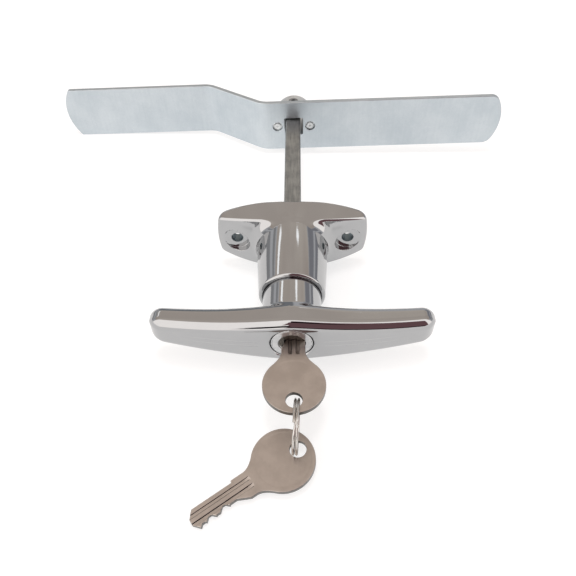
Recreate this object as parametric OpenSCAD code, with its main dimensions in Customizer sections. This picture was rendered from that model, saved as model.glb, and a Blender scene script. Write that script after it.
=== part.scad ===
// Keyed T-handle lock for a garage door, with its square shaft, locking bar and keys.
// X runs along the grip, Z is up, and Y is the lock's axis: the grip and the keys
// lie at -Y, outside the door, and the locking bar at +Y, inside it.
// The origin is on the axis, in the flat back face of the rose. Millimetres.

/* [Rose] */
// Width over the wings
rose_w = 66.4; // [56:0.2:80]
// Height at the middle
rose_h = 31.4; // [31:0.2:36]
// Height where the wings end
rose_end_h = 23; // [20:0.2:26]
// Radius of the wings' ends, seen from the front
rose_end_r = 50; // [36:1:120]
// Thickness at the wings' ends
rose_end_t = 1.6; // [1.2:0.1:2]
// Thickness that the wings' arched face would reach at the axis
rose_mid_t = 10.2; // [8:0.1:11]
// Lean of the upper and lower walls, degrees
wall_draft = 15; // [10:1:18]
// Length of the collar from the door to its rim
collar_len = 40.5; // [39:0.5:43]
// Wall of the collar at the wings
collar_root_wall = 3.45; // [3.2:0.05:4.2]
// Wall of the collar at its rim
collar_rim_wall = 1.65; // [1.5:0.05:2.6]
// Rounding of the collar's rim
collar_round = 1.2; // [0.6:0.1:1.4]
// Rounding of the wings' corners, seen from the front
rose_corner_r = 3.5; // [2:0.5:5]
// Distance between the two screw holes
screw_spacing = 49; // [46:0.5:52]
// Diameter of the screw holes
screw_hole_d = 4.8; // [4:0.1:5.4]
// Diameter of the recess around each screw
screw_recess_d = 11.6; // [10:0.1:12.4]
// Metal left under a screw's head
screw_seat_t = 1.5; // [1:0.1:1.6]

/* [Grip and stem] */
// Length of the grip
grip_w = 110.8; // [96:0.2:120]
// Distance of the grip's front face from the door
grip_reach = 64; // [63.5:0.5:72]
// Thickness of the grip at its middle
grip_t = 11.4; // [11:0.1:12]
// Height of the grip at its middle
grip_h = 23.6; // [23:0.2:26]
// Height of the grip near its ends
grip_end_h = 12.6; // [11:0.2:15]
// Hollow of the grip's taper
grip_hollow = 1.8; // [0:0.1:2]
// Rise of the grip's back edges at its middle
grip_crown = 1; // [0:0.1:1.6]
// Sweep of the grip's front face towards the door at its ends
grip_sweep = 5.7; // [3:0.1:6]
// Sweep of the grip's back
grip_back_sweep = 4.1; // [2:0.1:5]
// Rounding along the front edges
grip_round = 4; // [2:0.1:4.2]
// Rounding along the back edges
grip_round_back = 4; // [2:0.1:4.2]
// Length of each rounded end
grip_tip = 5.6; // [4:0.1:7]
// Diameter of the stem
stem_d = 23.5; // [23:0.1:24]

/* [Plug and wafers] */
// Diameter of the plug's head
plug_head_d = 16; // [15.8:0.1:16.4]
// Diameter of the plug's body
plug_d = 15; // [14.6:0.1:15.2]
// Length of the plug without its tail
plug_len = 26.2; // [26:0.1:27]
// Recess of the plug's head behind the grip's face
plug_recess = 0.4; // [0.2:0.1:0.8]
// Thickness of the plug's head
plug_head_t = 2; // [1.6:0.1:2.2]
// Diameter of the dish around the keyway
dish_d = 10.4; // [10.2:0.1:11]
// Depth of the dish
dish_depth = 0.8; // [0.4:0.1:1]
// Diameter of the plug's tail
tail_d = 6.4; // [5.6:0.1:6.6]
// Number of wafers
wafer_count = 5; // [3:1:5]
// Distance between wafers
wafer_pitch = 2.7; // [2.5:0.1:2.8]
// Thickness of a wafer
wafer_t = 1.2; // [1:0.1:1.3]
// Height of a wafer across its window
wafer_h = 6.6; // [6.4:0.1:6.8]

/* [Lock bolt] */
// Travel of the lock bolt
bolt_travel = 1.8; // [1.4:0.1:1.8]
// Distance of the bolt's middle from the door
bolt_depth = 20; // [19.6:0.1:20.6]
// Width of the bolt's body
bolt_w = 10.8; // [10.2:0.1:11]
// Width of the bolt's nose
bolt_nose_w = 8; // [7:0.1:8.4]
// Thickness of the bolt along the lock's axis
bolt_t = 6.6; // [6:0.1:6.8]
// Largest reach of the cam, with the lock open
cam_reach = 3.4; // [3.2:0.1:3.5]
// Wire of the bolt's spring
bolt_spring_wire = 0.5; // [0.4:0.05:0.6]
// Outer diameter of the bolt's spring
bolt_spring_d = 4; // [3.6:0.1:4.2]
// Turns of the bolt's spring
bolt_spring_turns = 5; // [4:1:6]

/* [Shaft and locking bar] */
// Side of the square shaft
shaft_side = 7.94; // [7.5:0.02:8.1]
// Length of the shaft beyond the hub
shaft_tail = 1.4; // [0.2:0.1:30]
// Length of the shaft inside the stem
shaft_grip = 13.4; // [12:0.1:13.6]
// Diameter of the pin through stem and shaft
shaft_pin_d = 3; // [2.5:0.1:3.2]
// Distance of the bar's near face from the door
bar_reach = 83.9; // [60:0.1:86]
// Width of the bar
bar_w = 28.5; // [26:0.1:32]
// Thickness of the bar
bar_t = 2.5; // [2:0.1:3]
// Length of the straight arm
bar_long_right = 112.1; // [80:0.1:140]
// Length of the bent arm
bar_long_left = 131.9; // [100:0.1:160]
// Offset of the bent arm away from the door
bar_offset = 20.7; // [12:0.1:24]
// Distance of the first bend from the axis
bend_start = 17.2; // [16.8:0.1:20]
// Distance of the second bend from the axis
bend_end = 47.2; // [44:0.1:60]
// Inner radius of the bends
bend_r = 10; // [4:0.1:10]
// Radius of the bar's ends
bar_end_r = 25; // [20:0.5:60]
// Rounding of the straight arm's corners
bar_corner_r = 2.5; // [1:0.1:4]
// Slack of the square holes on the shaft
square_slack = 1.8; // [1.7:0.05:2]
// Turn of the bar in that slack, degrees
bar_lean = 1.7; // [0:0.1:2]
// Diameter of the hub's barrel
hub_d = 19.4; // [17.4:0.1:20]
// Length of the hub behind the bar
hub_len = 13.8; // [11:0.1:14]
// Width over the hub's flange
hub_flange_w = 25; // [24:0.1:28]
// Thickness of the hub's flange
hub_flange_t = 3; // [2:0.1:4]
// Diameter of the hub's rivet studs
stud_d = 5.2; // [4:0.1:5.4]
// Distance between the studs
stud_spacing = 17.8; // [17.4:0.1:18.4]
// Diameter of the hub's set screw
set_screw_d = 5; // [4:0.1:5.5]

/* [Keys and ring] */
// Diameter of a key's bow
bow_d = 22.8; // [21:0.1:24]
// Thickness of a key
key_t = 2; // [1.8:0.05:2.1]
// Diameter of the hole in the bow
bow_hole_d = 6; // [5.8:0.1:6.2]
// Distance of that hole from the bow's middle
bow_hole_back = 6.3; // [6.1:0.1:6.5]
// Distance from the bow's middle to the shoulders
key_neck = 18.9; // [18:0.1:20]
// Length of a key's blade
blade_len = 17.6; // [17.4:0.1:20.4]
// Distance of the keyway's middle from the lock's axis
key_x = 0.9; // [0:0.1:1.1]
// Height of a key's blade
blade_h = 7.1; // [6.8:0.1:7.2]
// Spare key's turn on the ground, degrees from +X
spare_turn = 214; // [212:0.5:216]
// Spare key's lean, tip down, degrees
spare_lean = 5; // [4:0.5:6]
// Outer diameter of the key ring
ring_d = 20; // [19.8:0.1:20.4]
// Wire of the key ring
ring_wire = 1.2; // [1:0.05:1.25]

/* [Hidden] */
$fn = 64;

// Fits and overruns
run_fit = 0.08;
loose_fit = 0.3;
slide_fit = 0.1;
seat_gap = 0.05;
overrun = 1;

// Rose
collar_root_d = stem_d + 2 * collar_root_wall;
collar_rim_d = stem_d + 2 * collar_rim_wall;
rose_rise = (rose_h - rose_end_h) / 2;
rose_arc_r = (pow(rose_w / 2, 2) + pow(rose_rise, 2)) / (2 * rose_rise);
face_rise = rose_mid_t - rose_end_t;
face_arc_r = (pow(rose_w / 2, 2) + pow(face_rise, 2)) / (2 * face_rise);
wing_root_y = face_depth(collar_root_d / 2);
flare = 3.2;
collar_steps = 10;
collar_swell = 1.8;
arc_fn = 200;
stem_bore_r = stem_d / 2 + run_fit;

// Stack at the back of the rose, from the counterbore's floor to the stem's end
clip_t = 1.05;
clip_over = 1.6;
clip_groove_depth = 1;
clip_groove_d = stem_d - 2 * clip_groove_depth;
clip_gap = 5;
washer_t = 1.2;
stem_short = 0.4;
clip_lip = 0.5;
clip_y0 = -(stem_short + clip_lip + clip_t + seat_gap);
washer_y0 = clip_y0 - washer_t - seat_gap;
stack_y0 = washer_y0 - seat_gap;
stack_room = 0.8;
stack_d = stem_d + 2 * (clip_over + stack_room);

// Grip
grip_body_steps = 11;
grip_tip_steps = 5;
tip_close = 84;
grip_back_y = -(grip_reach - grip_t);
crown_soft = 3;
crown_w = 14.7;
section_arc_steps = 6;

// Plug and its bore
plug_y0 = -(grip_reach - plug_recess);
plug_y1 = plug_y0 + plug_len;
plug_bore_r = plug_d / 2 + run_fit;
plug_mouth_r = plug_head_d / 2 + loose_fit;
mouth_chamfer = 0.5;
tail_bore_r = 3.9;
dish_y = plug_y0 + dish_depth;
wafer_short = 0.15;
wafer_r = plug_d / 2 - wafer_short;
first_wafer = 3.25;
wafer_top = 2.6;
wafer_window = 0.3;
lug_h = 1.5;
lug_x = 5;
pocket_x = 1.15;
wafer_spring_d = 1.3;
wafer_spring_wire = 0.3;
wafer_spring_turns = 5;
retainer_back = 3;
retainer_reach = 0.9;
retainer_h = 5;
groove_depth = 1.2;
groove_h = 2 * (wafer_top + lug_h) + 1.1;

// Lock bolt, its channel and the keeper slots in the collar
bolt_y = -bolt_depth;
channel_w = bolt_w + 2 * slide_fit;
channel_t = bolt_t + 2 * loose_fit;
bolt_short = 0.2;
bolt_tip_r = stem_d / 2 - bolt_short;
bolt_body_top = 7;
bolt_foot = 6.4;
channel_room = 2;
channel_floor = bolt_foot + channel_room;
spring_wall = 1.45;
spring_floor = stem_d / 2 - spring_wall;
spring_side_room = 0.25;
bolt_spring_hole = bolt_spring_d / 2 + spring_side_room;
bolt_spring_depth = 1.9;
cam_min = cam_reach - bolt_travel;
cam_short = 1.2;
cam_t = bolt_t - cam_short;
cam_low_sweep = 160;
cam_top_room = 1.2;
cam_side_room = 0.4;
keeper_depth = bolt_travel + bolt_short;
keeper_w = bolt_nose_w + 2 * loose_fit;
keeper_count = 4;

// Shaft and bar
shaft_y0 = -shaft_grip;
socket_side = shaft_side + 2 * run_fit;
pin_y = -7.4;
pin_short = 0.5;
shaft_chamfer = 0.8;
square_side = shaft_side + square_slack;
bar_shift = 0.45;
bar_drop = 0.3;
bend_steps = 8;
hub_y = bar_reach + bar_t;
shaft_reach = hub_y + hub_len + shaft_tail;
screw_mid = 8;
screw_socket = 2.5;
screw_socket_depth = 2;
screw_len = 5.2;

// Keys
neck_low = 4.2;
neck_high = 4.8;
neck_fillet = 5;
bow_bite = 0.3;
blade_low = 3.4;
blade_high = blade_h - blade_low;
tip_flat_low = 1;
tip_flat_high = 1.2;
tip_run = 2.2;
cut_depth_shares = [0.17, 0.3, 0.1, 0.26, 0.14];
cut_flat = 1;
cut_slope = 45;
mill_w = 1.2;
mill_depth = 0.45;
mill_top = 1.5;
mill_low = -1.3;
mill_runout = 3.4;
key_shoulder_y = dish_y - seat_gap;
bow_y = key_shoulder_y - key_neck;

// Ring and spare key
ring_mid_r = (ring_d - ring_wire) / 2;
ring_side = 0.5;
ring_x = 1.6;
ring_drop = 12.3;
ring_y = bow_y - ring_drop;
ring_z = -6.8;
ring_yaw = -3;
spare_x = -2.9;
spare_drop = 9.4;
spare_y = ring_y - spare_drop;
spare_z = -13.6;

// Shapes along the lock's axis
module rod_y(d, y0, y1) {
    translate([0, y0, 0]) rotate([-90, 0, 0]) cylinder(d = d, h = y1 - y0);
}

module bar_y(w, h, y0, y1) {
    translate([-w / 2, y0, -h / 2]) cube([w, y1 - y0, h]);
}

module turned(points) {
    rotate([-90, 0, 0]) rotate_extrude() polygon(points);
}

// A sheet of the plan view, from z = -h/2 to h/2
module plan(h) {
    translate([0, 0, -h / 2]) linear_extrude(h) children();
}

// A sheet of the front view, from y0 to y1
module front(y0, y1) {
    translate([0, y1, 0]) rotate([90, 0, 0]) linear_extrude(y1 - y0) children();
}

function arc(c, r, a0, a1, steps) =
    [for (i = [0:steps]) let (a = a0 + (a1 - a0) * i / steps) [c[0] + r * cos(a), c[1] + r * sin(a)]];

// Thickness of the wings at a distance from the middle: the face is an arc in plan
function face_depth(x) = rose_mid_t - face_arc_r + sqrt(pow(face_arc_r, 2) - x * x);

// Radius of the collar at a distance from the door: it swells slightly
function collar_r(depth) =
    let (s = max(0, (depth - wing_root_y) / (collar_len - wing_root_y)))
    collar_root_d / 2 - (collar_root_d - collar_rim_d) / 2 * pow(s, collar_swell);

module wall_cone(side) {
    drop = rose_arc_r - rose_h / 2;
    far_r = rose_arc_r - collar_len * tan(wall_draft);
    translate([0, 0, -side * drop]) rotate([90, 0, 0])
        cylinder(h = collar_len, r1 = rose_arc_r, r2 = far_r, $fn = arc_fn);
}

// The wings in the front view: an arc at each end, its corners rounded at the back
module wing_ends() {
    half = rose_w / 2;
    end_x = rose_end_r - half;
    wall_z = rose_arc_r - rose_h / 2;
    far_end = rose_end_r - rose_corner_r;
    far_wall = rose_arc_r - rose_corner_r;
    apart = norm([end_x, wall_z]);
    along = (pow(far_end, 2) - pow(far_wall, 2) + pow(apart, 2)) / (2 * apart);
    aside = sqrt(pow(far_end, 2) - pow(along, 2));
    corner_x = (end_x * along + wall_z * aside) / apart - end_x;
    corner_z = (end_x * aside - wall_z * along) / apart;
    touch_x = corner_x * rose_arc_r / far_wall;
    touch_z = corner_z * rose_end_r / far_end;
    intersection() {
        intersection_for (s = [-1, 1]) translate([-s * end_x, 0]) circle(rose_end_r, $fn = arc_fn);
        square([rose_w, 2 * touch_z], center = true);
    }
    square([2 * touch_x, rose_h], center = true);
    for (sx = [-1, 1], sz = [-1, 1]) translate([sx * corner_x, sz * corner_z]) circle(rose_corner_r);
}

module wings() {
    root = collar_root_d / 2;
    foot = face_depth(root + flare);
    intersection() {
        wall_cone(1);
        wall_cone(-1);
        front(-collar_len, 0) wing_ends();
        union() {
            plan(rose_h + overrun) translate([0, face_arc_r - rose_mid_t]) circle(face_arc_r, $fn = arc_fn);
            turned(concat(
                [[0, 0], [root + flare, 0]],
                arc([root + flare, -foot - flare], flare, 90, 180, 6),
                [[0, -foot - flare]]
            ));
        }
    }
}

module collar() {
    rim = collar_r(collar_len);
    turned(concat(
        [[0, 0], [collar_root_d / 2, 0]],
        [for (i = [0:collar_steps - 1])
            let (d = wing_root_y + (collar_len - collar_round - wing_root_y) * i / collar_steps)
            [collar_r(d), -d]],
        arc([rim - collar_round, -(collar_len - collar_round)], collar_round, 0, -90, 5),
        [[0, -collar_len]]
    ));
}

module rose() {
    color("gainsboro") difference() {
        union() {
            wings();
            collar();
        }
        rod_y(2 * stem_bore_r, -collar_len - overrun, overrun);
        rod_y(stack_d, stack_y0, overrun);
        for (i = [0:keeper_count - 1])
            rotate([0, i * 360 / keeper_count, 0])
                translate([-keeper_w / 2, bolt_y - channel_t / 2, 0])
                    cube([keeper_w, channel_t, bolt_tip_r + keeper_depth]);
        for (s = [-1, 1]) translate([s * screw_spacing / 2, 0, 0]) {
            rod_y(screw_hole_d, -collar_len, overrun);
            rod_y(screw_recess_d, -collar_len, -screw_seat_t);
        }
    }
}

// Half height of the grip along its length: a soft peak, then a slightly hollow taper
function taper_run(x) = sqrt(x * x + crown_soft * crown_soft) - crown_soft;
function grip_half(x) =
    let (share = taper_run(x) / taper_run(grip_w / 2), u = x / (grip_w / 2))
    grip_h / 2 - (grip_h / 2 - grip_end_h / 2 + grip_hollow) * share + grip_hollow * u * u;

// Quarter-round that closes the grip at both ends
function tip_share(x) =
    let (d = (abs(x) - (grip_w / 2 - grip_tip)) / grip_tip)
    d <= 0 ? 1 : sqrt(1 - d * d);

// One section of the grip: [x, y, z], front face first, then round the top and the back
function grip_section(x) =
    let (
        u = x / (grip_w / 2),
        s = tip_share(x),
        yf = -grip_reach + grip_sweep * u * u,
        yb = grip_back_y + grip_back_sweep * u * u,
        ym = (yf + yb) / 2,
        yr = ym + (yb - ym) * s,
        yn = ym + (yf - ym) * s,
        crest = grip_half(x) * s,
        back = crest + grip_crown * exp(-pow(x / crown_w, 2)),
        rf = grip_round * s,
        rb = grip_round_back * s,
        upper = concat(
            [for (i = [0:section_arc_steps]) let (a = 90 * i / section_arc_steps)
                [x, yn + rf * (1 - cos(a)), crest - rf * (1 - sin(a))]],
            [for (i = [0:section_arc_steps]) let (a = 90 * i / section_arc_steps)
                [x, yr - rb * (1 - sin(a)), back - rb * (1 - cos(a))]]
        ),
        n = len(upper)
    )
    concat(upper, [for (i = [0:n - 1]) let (p = upper[n - 1 - i]) [p[0], p[1], -p[2]]]);

module grip() {
    n = len(grip_section(0));
    body = grip_w / 2 - grip_tip;
    right = concat(
        [for (i = [1:grip_body_steps]) body * i / grip_body_steps],
        [for (i = [1:grip_tip_steps]) body + grip_tip * sin(tip_close * i / grip_tip_steps)]
    );
    last = len(right) - 1;
    xs = concat([for (i = [0:last]) -right[last - i]], [0], right);
    spans = len(xs) - 1;
    points = [for (x = xs) each grip_section(x)];
    sides = [for (i = [0:spans - 1], j = [0:n - 1])
        let (k = (j + 1) % n, a = i * n + j, b = i * n + k, c = (i + 1) * n + k, d = (i + 1) * n + j)
        each [[a, b, c], [a, c, d]]];
    caps = [[for (j = [n - 1:-1:0]) j], [for (j = [0:n - 1]) spans * n + j]];
    polyhedron(points = points, faces = concat(sides, caps), convexity = 4);
}

module plug_bore() {
    front_y = -grip_reach - overrun;
    rod_y(2 * plug_bore_r, front_y, plug_y1 + seat_gap);
    rod_y(2 * plug_mouth_r, front_y, plug_y0 + plug_head_t + seat_gap);
    turned([
        [0, front_y], [plug_mouth_r + mouth_chamfer + overrun, front_y],
        [plug_mouth_r, -grip_reach + mouth_chamfer], [0, -grip_reach + mouth_chamfer]
    ]);
    rod_y(2 * tail_bore_r, plug_y1 - overrun, bolt_y);
    bar_y(plug_d + 2 * groove_depth, groove_h, plug_y0 + plug_head_t, wafer_y(wafer_count));
    rod_y(plug_d + 2 * groove_depth, retainer_y() - loose_fit, retainer_y() + wafer_t + loose_fit);
}

module bolt_channel() {
    top = stem_d / 2 + overrun;
    translate([-channel_w / 2, bolt_y - channel_t / 2, -channel_floor])
        cube([channel_w, channel_t, channel_floor + top]);
    translate([0, bolt_y, -spring_floor]) cylinder(r = bolt_spring_hole, h = spring_floor);
}

module handle() {
    color("silver") difference() {
        union() {
            grip();
            rod_y(stem_d, grip_back_y - grip_round_back, -stem_short);
        }
        plug_bore();
        bolt_channel();
        bar_y(socket_side, socket_side, shaft_y0 - seat_gap, overrun);
        translate([-stem_d / 2 - overrun, pin_y, 0]) rotate([0, 90, 0])
            cylinder(d = shaft_pin_d + 2 * seat_gap, h = stem_d + 2 * overrun);
        difference() {
            rod_y(stem_d + 2 * overrun, clip_y0 - seat_gap, clip_y0 + clip_t + seat_gap);
            rod_y(clip_groove_d, clip_y0 - overrun, clip_y0 + clip_t + overrun);
        }
    }
}

module stem_washer() {
    color("darkgray") difference() {
        rod_y(stack_d - 2 * loose_fit, washer_y0, washer_y0 + washer_t);
        rod_y(stem_d + 2 * loose_fit, washer_y0 - overrun, washer_y0 + washer_t + overrun);
    }
}

module retaining_ring() {
    color("dimgray") difference() {
        rod_y(stem_d + 2 * clip_over, clip_y0, clip_y0 + clip_t);
        rod_y(clip_groove_d + 2 * seat_gap, clip_y0 - overrun, clip_y0 + clip_t + overrun);
        translate([-clip_gap / 2, clip_y0 - overrun, -stem_d])
            cube([clip_gap, clip_t + 2 * overrun, stem_d]);
    }
}

module shaft() {
    across = shaft_side * sqrt(2) * 2 - 2 * shaft_chamfer;
    color("gray") difference() {
        intersection() {
            bar_y(shaft_side, shaft_side, shaft_y0, shaft_reach);
            rotate([-90, 0, 0]) rotate([0, 0, 45]) translate([0, 0, shaft_y0])
                cylinder(h = shaft_reach - shaft_y0, d = across, $fn = 4);
        }
        translate([-shaft_side, pin_y, 0]) rotate([0, 90, 0])
            cylinder(d = shaft_pin_d + 2 * seat_gap, h = 2 * shaft_side);
    }
}

module shaft_pin() {
    long = stem_d - 2 * pin_short;
    color("slategray") translate([-long / 2, pin_y, 0]) rotate([0, 90, 0])
        cylinder(d = shaft_pin_d, h = long);
}

// Bar and hub share this place: turned and shifted in the slack of the square hole
module on_shaft() {
    translate([bar_shift, 0, -bar_drop]) rotate([0, -bar_lean, 0]) children();
}

// Near edge of the bar in plan, shifted by t away from the door
function bar_edge(t) =
    let (
        fall = atan(bar_offset / (bend_end - bend_start)),
        half = tan(fall / 2),
        r_out = bend_r + bar_t - t,
        r_in = bend_r + t,
        c1 = [-bend_start + half * (bend_r + bar_t), bar_reach + bar_t + bend_r],
        c2 = [-bend_end - half * bend_r, bar_reach + bar_offset - bend_r]
    )
    concat(
        [[bar_long_right, bar_reach + t]],
        arc(c1, r_out, -90, -90 - fall, bend_steps),
        arc(c2, r_in, 90 - fall, 90, bend_steps),
        [[-bar_long_left, bar_reach + bar_offset + t]]
    );

// Half of the bar's outline from the axis to a cropped round end, in +X
module bar_arm(long, crop) {
    translate([0, -crop / 2]) square([long - bar_end_r, crop]);
    intersection() {
        translate([long - bar_end_r, 0]) circle(bar_end_r, $fn = arc_fn);
        translate([0, -crop / 2]) square([long, crop]);
    }
}

// Both arms in the front view: the straight one has rounded corners at its end
module bar_outline() {
    corner_z = bar_w / 2 - bar_corner_r;
    corner_x = sqrt(pow(bar_end_r - bar_corner_r, 2) - pow(corner_z, 2));
    touch_z = corner_z * bar_end_r / (bar_end_r - bar_corner_r);
    mirror([1, 0]) bar_arm(bar_long_left, bar_w);
    bar_arm(bar_long_right, 2 * touch_z);
    translate([0, -bar_w / 2]) square([bar_long_right - bar_end_r + corner_x, bar_w]);
    for (s = [-1, 1])
        translate([bar_long_right - bar_end_r + corner_x, s * corner_z]) circle(bar_corner_r);
}

module locking_bar() {
    near = bar_edge(0);
    far = bar_edge(bar_t);
    n = len(far);
    color("lightsteelblue") on_shaft() difference() {
        intersection() {
            plan(bar_w) polygon(concat(near, [for (i = [0:n - 1]) far[n - 1 - i]]));
            front(bar_reach - overrun, bar_reach + bar_offset + bar_t + overrun) bar_outline();
        }
        bar_y(square_side, square_side, bar_reach - overrun, hub_y + overrun);
        for (s = [-1, 1]) translate([s * stud_spacing / 2, 0, 0])
            rod_y(stud_d + 2 * seat_gap, bar_reach - overrun, hub_y + overrun);
    }
}

module bar_hub() {
    color("darkgray") on_shaft() difference() {
        union() {
            intersection() {
                rod_y(hub_flange_w, hub_y, hub_y + hub_flange_t);
                bar_y(hub_flange_w, hub_d, hub_y, hub_y + hub_flange_t);
            }
            rod_y(hub_d, hub_y, hub_y + hub_len);
            for (s = [-1, 1]) translate([s * stud_spacing / 2, 0, 0]) rod_y(stud_d, bar_reach, hub_y);
        }
        bar_y(square_side, square_side, bar_reach - overrun, hub_y + hub_len + overrun);
        translate([0, hub_y + screw_mid, 0]) cylinder(d = set_screw_d + 2 * seat_gap, h = hub_d);
    }
}

module hub_screw() {
    low = shaft_side / 2 + bar_drop + seat_gap + set_screw_d / 2 * sin(bar_lean);
    color("dimgray") on_shaft() translate([0, hub_y + screw_mid, low]) difference() {
        cylinder(d = set_screw_d, h = screw_len);
        translate([0, 0, screw_len - screw_socket_depth]) rotate([0, 0, 30])
            cylinder(d = screw_socket, h = screw_socket_depth + overrun, $fn = 6);
    }
}

// Near face of a wafer, counted from the key's shoulder
function wafer_y(i) = dish_y + first_wafer + wafer_pitch * i - wafer_t / 2;
function retainer_y() = plug_y1 - retainer_back;

// The blade's end view in the plug: the cuts are on its left, and it is offset by key_x
module blade_end(room) {
    translate([key_x, 0]) difference() {
        translate([-blade_high - room, -key_t / 2 - room])
            square([blade_h + 2 * room, key_t + 2 * room]);
        for (m = [mill_low, mill_top])
            translate([-m - mill_w / 2 + room, key_t / 2 - mill_depth + room])
                square([mill_w - 2 * room, mill_depth + overrun]);
    }
}

module wafer_slots() {
    room = slide_fit / 2;
    slot_h = retainer_h + 2 * slide_fit;
    for (i = [0:wafer_count - 1]) {
        translate([-plug_d, wafer_y(i) - room, wafer_top - wafer_h - room])
            cube([2 * plug_d, wafer_t + 2 * room, wafer_h + 2 * room]);
        translate([-plug_d, wafer_y(i) - room, 0])
            cube([plug_d - pocket_x, wafer_t + 2 * room, wafer_top + lug_h + room]);
    }
    translate([-plug_d, retainer_y() - room, -slot_h / 2]) cube([2 * plug_d, wafer_t + 2 * room, slot_h]);
}

// Cam outline: its reach falls at a steady rate, so a flat edge moves in step with the turn
function cam_point(a) =
    let (reach = cam_reach - bolt_travel * a / 90, slope = -bolt_travel * 180 / (90 * PI))
    [reach * sin(a) + slope * cos(a), -reach * cos(a) + slope * sin(a)];

module cam_outline() {
    polygon(concat(
        [for (i = [0:12]) cam_point(90 * i / 12)],
        [for (i = [0:16]) let (a = 90 + cam_low_sweep * i / 16) [cam_min * sin(a), -cam_min * cos(a)]]
    ));
}

module plug() {
    color("lightgray") difference() {
        union() {
            rod_y(plug_head_d, plug_y0, plug_y0 + plug_head_t);
            rod_y(plug_d, plug_y0, plug_y1);
            rod_y(tail_d, plug_y1 - overrun, bolt_y - bolt_t / 2 - loose_fit);
            front(bolt_y - bolt_t / 2 - overrun, bolt_y + cam_t / 2) cam_outline();
        }
        rod_y(dish_d, plug_y0 - overrun, dish_y);
        front(plug_y0 - overrun, key_shoulder_y + blade_len + loose_fit) blade_end(slide_fit);
        wafer_slots();
    }
}

module wafer(i) {
    y0 = wafer_y(i);
    color("goldenrod") difference() {
        intersection() {
            rod_y(2 * wafer_r, y0, y0 + wafer_t);
            union() {
                translate([-plug_d, y0, wafer_top - wafer_h]) cube([2 * plug_d, wafer_t, wafer_h]);
                translate([-plug_d, y0, 0]) cube([plug_d - lug_x, wafer_t, wafer_top + lug_h]);
            }
        }
        front(y0 - overrun, y0 + wafer_t + overrun)
            translate([key_x - blade_high - wafer_window, -key_t / 2 - wafer_window])
                square([blade_h + 2 * wafer_window, key_t + 2 * wafer_window]);
    }
}

module retainer_wafer() {
    y0 = retainer_y();
    color("peru") intersection() {
        translate([-plug_d, y0, -retainer_h / 2]) cube([2 * plug_d, wafer_t, retainer_h]);
        translate([retainer_reach, 0, 0]) rod_y(2 * wafer_r, y0, y0 + wafer_t);
    }
}

// A round-wire coil along +Z, as one swept tube that starts and ends flat
module coil(d, wire, turns, long, rings, sides) {
    r = (d - wire) / 2;
    n = turns * rings;
    points = [for (i = [0:n], j = [0:sides - 1])
        let (
            a = 360 * i / rings,
            b = 360 * j / sides,
            rr = r + wire / 2 * cos(b),
            z = wire / 2 + (long - wire) * i / n + wire / 2 * sin(b)
        )
        [rr * cos(a), rr * sin(a), z]];
    skin = [for (i = [0:n - 1], j = [0:sides - 1])
        let (k = (j + 1) % sides, low = i * sides, high = low + sides)
        each [[low + j, high + k, low + k], [low + j, high + j, high + k]]];
    ends = [[for (j = [0:sides - 1]) j], [for (j = [sides - 1:-1:0]) n * sides + j]];
    polyhedron(points = points, faces = concat(skin, ends), convexity = 10);
}

module wafer_springs() {
    x0 = -lug_x + seat_gap;
    long = lug_x - pocket_x - 2 * seat_gap;
    color("darkgray") for (i = [0:wafer_count - 1])
        translate([x0, wafer_y(i) + wafer_t / 2, wafer_top + lug_h / 2]) rotate([0, 90, 0])
            coil(wafer_spring_d, wafer_spring_wire, wafer_spring_turns, long, 8, 4);
}

module lock_bolt() {
    foot = -bolt_foot;
    window_w = 2 * (cam_reach + cam_side_room);
    color("burlywood") difference() {
        intersection() {
            union() {
                translate([-bolt_w / 2, bolt_y - bolt_t / 2, foot])
                    cube([bolt_w, bolt_t, bolt_body_top + bolt_foot]);
                translate([-bolt_nose_w / 2, bolt_y - bolt_t / 2, foot])
                    cube([bolt_nose_w, bolt_t, stem_d]);
            }
            rod_y(2 * bolt_tip_r, bolt_y - bolt_t, bolt_y + bolt_t);
        }
        translate([-window_w / 2, bolt_y - bolt_t, -cam_reach - slide_fit])
            cube([window_w, 2 * bolt_t, 2 * cam_reach - bolt_travel + cam_top_room]);
        translate([0, bolt_y, foot - overrun])
            cylinder(r = bolt_spring_hole, h = bolt_spring_depth + overrun);
    }
}

module bolt_spring() {
    long = spring_floor - bolt_foot + bolt_spring_depth - 2 * seat_gap;
    color("darkgray") translate([0, bolt_y, -spring_floor + seat_gap])
        coil(bolt_spring_d, bolt_spring_wire, bolt_spring_turns, long, 12, 6);
}

// Key outline in its own plan: bow at the origin, blade along +X, cuts on the +Y edge.
// The neck's fillets start a little inside the bow's edge
function fillet_x(w) = sqrt(pow(bow_d / 2 - bow_bite + neck_fillet, 2) - pow(w + neck_fillet, 2));
function fillet_a(w) = atan2(w + neck_fillet, fillet_x(w));

function cut_edge(i) =
    let (
        x = key_neck + first_wafer + wafer_pitch * (wafer_count - 1 - i),
        d = blade_h * cut_depth_shares[wafer_count - 1 - i],
        run = cut_flat / 2 + d / tan(cut_slope)
    )
    [
        [x + run, blade_high], [x + cut_flat / 2, blade_high - d],
        [x - cut_flat / 2, blade_high - d], [x - run, blade_high]
    ];

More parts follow.
